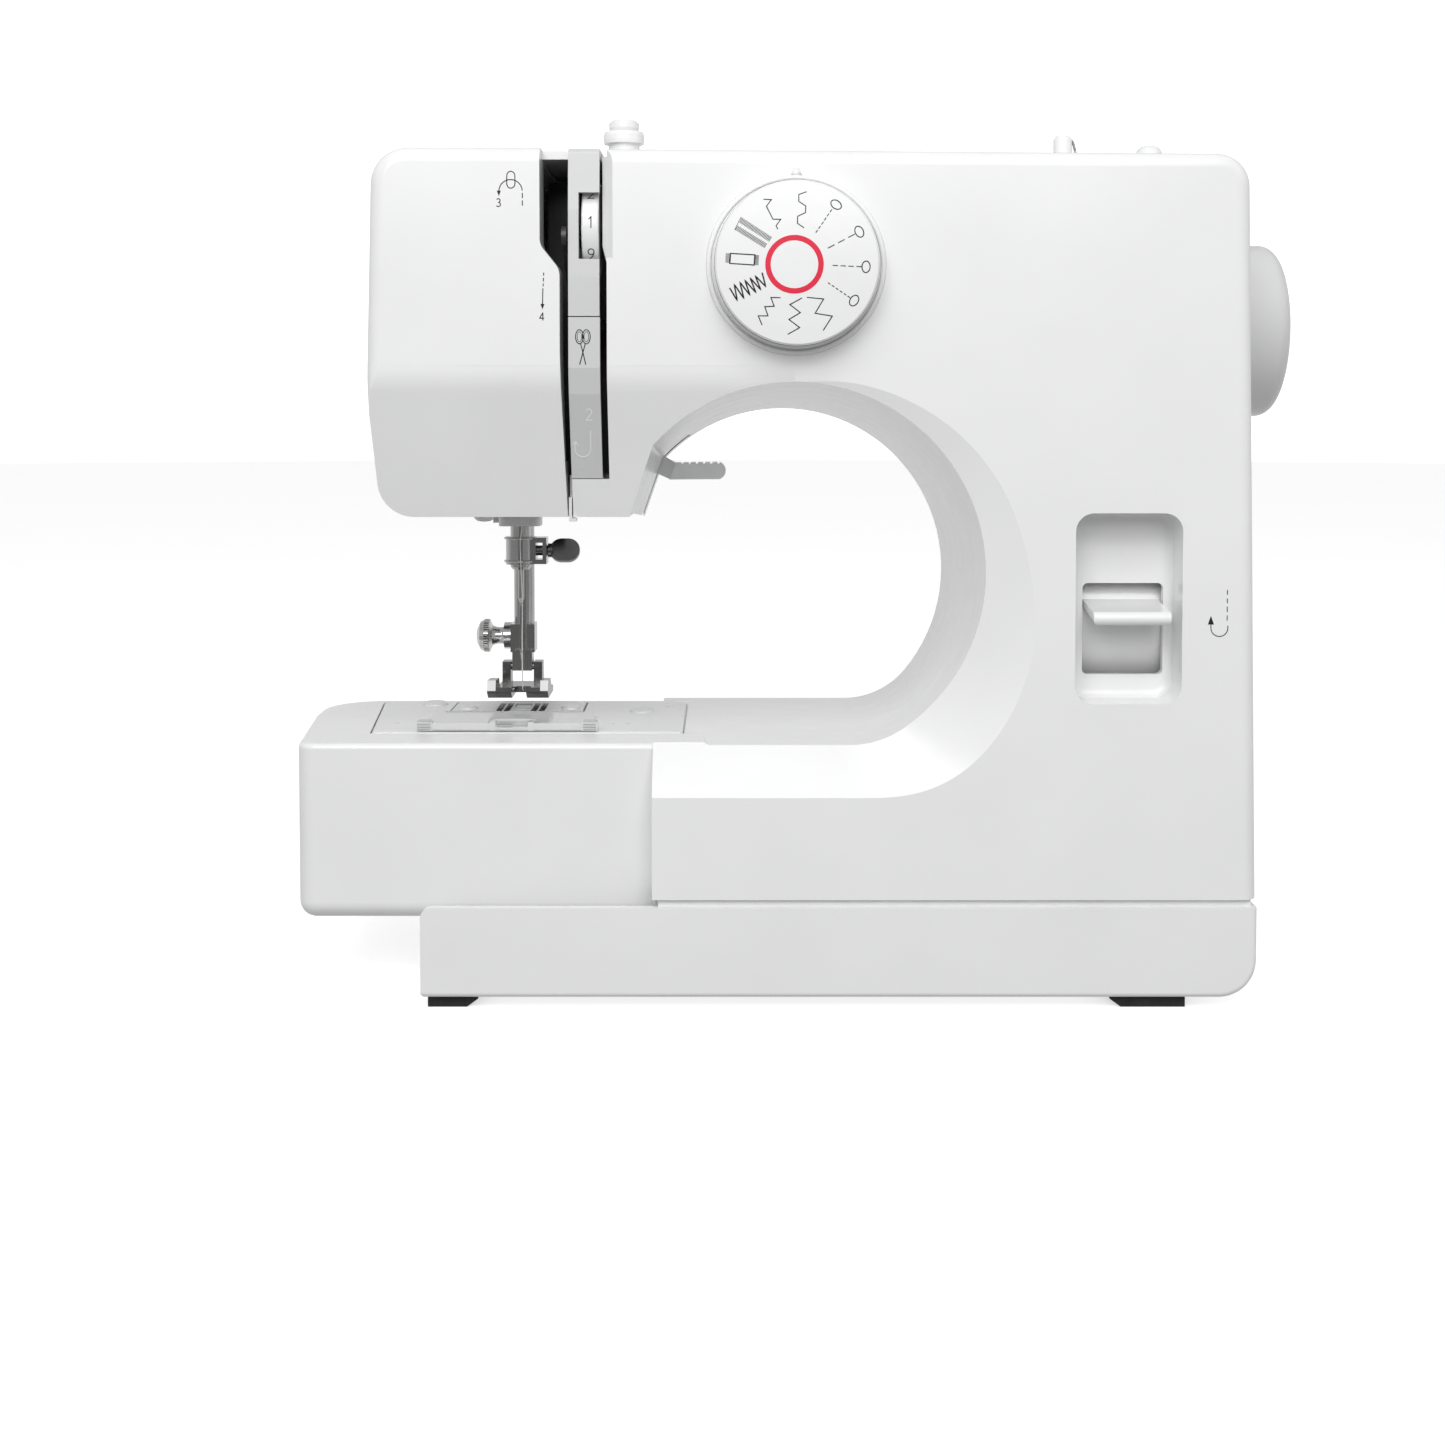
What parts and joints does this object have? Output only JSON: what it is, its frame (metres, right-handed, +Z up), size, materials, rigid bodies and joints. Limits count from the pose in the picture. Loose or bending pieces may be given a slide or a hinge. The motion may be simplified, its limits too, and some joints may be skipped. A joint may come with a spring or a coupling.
{
  "type": "sewing machine",
  "caption": "Compact white portable free-arm sewing machine with side handwheel, stitch dial, tension wheel, reverse lever and needle, presser and bobbin works.",
  "frame": {"origin": "centre of the overall box on the plane of the rubber feet", "axes": "+Z up, -Y towards the user, +X towards the handwheel"},
  "size_m": [0.2962, 0.117, 0.2462],
  "materials": {
    "white_shell": "gloss",
    "base_shell": "gloss",
    "grey_plastic": "satin",
    "handwheel_plastic": "gloss",
    "dark_plastic": "satin",
    "bright_steel": "satin",
    "chrome_plate": "polished",
    "black_rubber": "matte",
    "frame_alloy": "satin",
    "bush_bronze": "satin",
    "motor_case": "satin",
    "clear_plastic": "clear",
    "belt_rubber": "matte",
    "bed_plastic": "satin",
    "lamp_lens": "frosted",
    "needle_steel": "polished"
  },
  "bodies": {
    "machine": {"front_cover": "white_shell", "rear_cover": "white_shell", "face_cover": "white_shell", "base_tray": "base_shell", "rubber_feet": "black_rubber", "free_arm_cover": "base_shell", "bed_insert": "bed_plastic", "needle_plate": "bright_steel", "bed_screws": "chrome_plate", "bobbin_case": "dark_plastic", "timing_belt": "belt_rubber", "motor_belt": "belt_rubber", "motor": "motor_case", "main_frame": "frame_alloy", "shaft_bushes": "bush_bronze", "take_up_channel": "dark_plastic", "tension_panel": "grey_plastic", "thread_guide_panel": "grey_plastic", "face_thread_guide": "bright_steel", "winding_guide": "white_shell", "head_lamp": "lamp_lens", "dc_inlet": "dark_plastic", "pedal_jack": "dark_plastic", "cover_screws": "chrome_plate"},
    "hand_drive": {"handwheel": "handwheel_plastic", "upper_shaft": "bright_steel", "upper_pulley": "dark_plastic", "drive_pulley": "dark_plastic", "crank_disc": "frame_alloy"},
    "lower_drive": {"lower_shaft": "bright_steel", "lower_pulley": "dark_plastic", "hook_drive_gear": "dark_plastic"},
    "hook": {"rotary_hook": "bright_steel", "hook_gear": "dark_plastic"},
    "motor_rotor": {"motor_pulley": "bright_steel"},
    "bobbin": {"bobbin": "clear_plastic"},
    "needle_gate": {"needle_gate": "bright_steel"},
    "needle_bar_set": {"needle_bar": "chrome_plate", "connecting_rod": "frame_alloy", "needle_clamp": "chrome_plate", "needle": "needle_steel"},
    "clamp_screw": {"needle_clamp_screw": "chrome_plate"},
    "take_up": {"take_up_lever": "dark_plastic"},
    "lifter": {"presser_lifter": "grey_plastic"},
    "presser_set": {"presser_bar": "chrome_plate", "presser_guide_bracket": "frame_alloy", "presser_foot_holder": "chrome_plate"},
    "thumb_screw": {"presser_thumb_screw": "chrome_plate"},
    "foot": {"presser_foot": "chrome_plate"},
    "stitch_selector": {"stitch_dial": "white_shell"},
    "tension_wheel": {"tension_dial": "white_shell"},
    "reverse": {"reverse_lever": "white_shell"},
    "slide_cover": {"bobbin_cover": "clear_plastic"},
    "feed": {"feed_dog": "bright_steel"},
    "winder_slide": {"winder_carriage": "dark_plastic"},
    "winder": {"winder_spindle": "white_shell", "winder_clip": "chrome_plate"},
    "pre_tension": {"winding_guide_disc": "white_shell"},
    "spool": {"spool_pin": "white_shell"},
    "switch": {"power_switch": "dark_plastic"}
  },
  "joints": [
    {"name": "handwheel_turn", "type": "hinge", "parent": "machine", "child": "hand_drive", "pos_m": [0.126, 0.024, 0.1886], "axis": [1, 0, 0], "continuous": true},
    {"name": "lower_shaft_turn", "type": "hinge", "parent": "machine", "child": "lower_drive", "pos_m": [0, 0.024, 0.042], "axis": [1, 0, 0], "continuous": true},
    {"name": "hook_turn", "type": "hinge", "parent": "machine", "child": "hook", "pos_m": [-0.088, 0.004, 0.05], "axis": [0, 0, 1], "continuous": true},
    {"name": "motor_turn", "type": "hinge", "parent": "machine", "child": "motor_rotor", "pos_m": [0.08, 0, 0.066], "axis": [1, 0, 0], "continuous": true},
    {"name": "bobbin_spin", "type": "hinge", "parent": "machine", "child": "bobbin", "pos_m": [-0.088, 0.004, 0.06], "axis": [0, 0, 1], "continuous": true},
    {"name": "needle_gate_swing", "type": "hinge", "parent": "machine", "child": "needle_gate", "pos_m": [-0.088, 0.03, 0.217], "axis": [0, 1, 0], "range_deg": [-0.85, 0.85]},
    {"name": "needle_bar_slide", "type": "slide", "parent": "needle_gate", "child": "needle_bar_set", "axis": [0, 0, 1], "range_m": [-0.025, 0]},
    {"name": "clamp_screw_turn", "type": "hinge", "parent": "needle_bar_set", "child": "clamp_screw", "pos_m": [-0.075, 0.024, 0.1208], "axis": [1, 0, 0], "continuous": true},
    {"name": "take_up_swing", "type": "hinge", "parent": "machine", "child": "take_up", "pos_m": [-0.0681, -0.014, 0.19], "axis": [1, 0, 0], "range_deg": [0, 28.1]},
    {"name": "lifter_swing", "type": "hinge", "parent": "machine", "child": "lifter", "pos_m": [-0.1135, 0.043, 0.156], "axis": [0, 1, 0], "range_deg": [0, 13.04]},
    {"name": "presser_bar_slide", "type": "slide", "parent": "machine", "child": "presser_set", "axis": [0, 0, 1], "range_m": [-0.0042, 0]},
    {"name": "thumb_screw_turn", "type": "hinge", "parent": "presser_set", "child": "thumb_screw", "pos_m": [-0.098, 0.0334, 0.0932], "axis": [1, 0, 0], "continuous": true},
    {"name": "foot_tilt", "type": "hinge", "parent": "presser_set", "child": "foot", "pos_m": [-0.088, 0.0288, 0.0842], "axis": [1, 0, 0], "range_deg": [-6, 0.8]},
    {"name": "stitch_dial_turn", "type": "hinge", "parent": "machine", "child": "stitch_selector", "pos_m": [-0.00565, -0.054, 0.2031], "axis": [0, 1, 0], "continuous": true},
    {"name": "tension_turn", "type": "hinge", "parent": "machine", "child": "tension_wheel", "pos_m": [-0.061, -0.0356, 0.2138], "axis": [1, 0, 0], "range_deg": [-150, 150]},
    {"name": "reverse_press", "type": "hinge", "parent": "machine", "child": "reverse", "pos_m": [0.0858, -0.01, 0.104], "axis": [1, 0, 0], "range_deg": [0, 16], "stiffness_Nm_per_rad": 0.1, "springref_deg": -17.19},
    {"name": "bobbin_cover_slide", "type": "slide", "parent": "machine", "child": "slide_cover", "axis": [0, -1, 0], "range_m": [0, 0.036]},
    {"name": "feed_slide", "type": "slide", "parent": "machine", "child": "feed", "axis": [0, 1, 0], "range_m": [-0.0018, 0.0018]},
    {"name": "winder_shift", "type": "slide", "parent": "machine", "child": "winder_slide", "axis": [1, 0, 0], "range_m": [0, 0.004]},
    {"name": "winder_spin", "type": "hinge", "parent": "winder_slide", "child": "winder", "pos_m": [0.0762, 0.008, 0.236], "axis": [0, 0, 1], "continuous": true},
    {"name": "pre_tension_spin", "type": "hinge", "parent": "machine", "child": "pre_tension", "pos_m": [-0.0534, -0.0195, 0.24], "axis": [0, 0, 1], "continuous": true},
    {"name": "spool_pin_pull", "type": "slide", "parent": "machine", "child": "spool", "axis": [0, 0, 1], "range_m": [0, 0.034]},
    {"name": "switch_rock", "type": "hinge", "parent": "machine", "child": "switch", "pos_m": [0.1162, 0.012, 0.072], "axis": [0, 1, 0], "range_deg": [-8, 8]}
  ],
  "couplings": [
    {"joint": "lower_shaft_turn", "follows": "handwheel_turn", "ratio": 1},
    {"joint": "hook_turn", "follows": "handwheel_turn", "ratio": 1},
    {"joint": "motor_turn", "follows": "handwheel_turn", "ratio": 4},
    {"joint": "take_up_swing", "follows": "needle_bar_slide", "rad_per_m": -19.548},
    {"joint": "lifter_swing", "follows": "presser_bar_slide", "rad_per_m": -54.022}
  ]
}
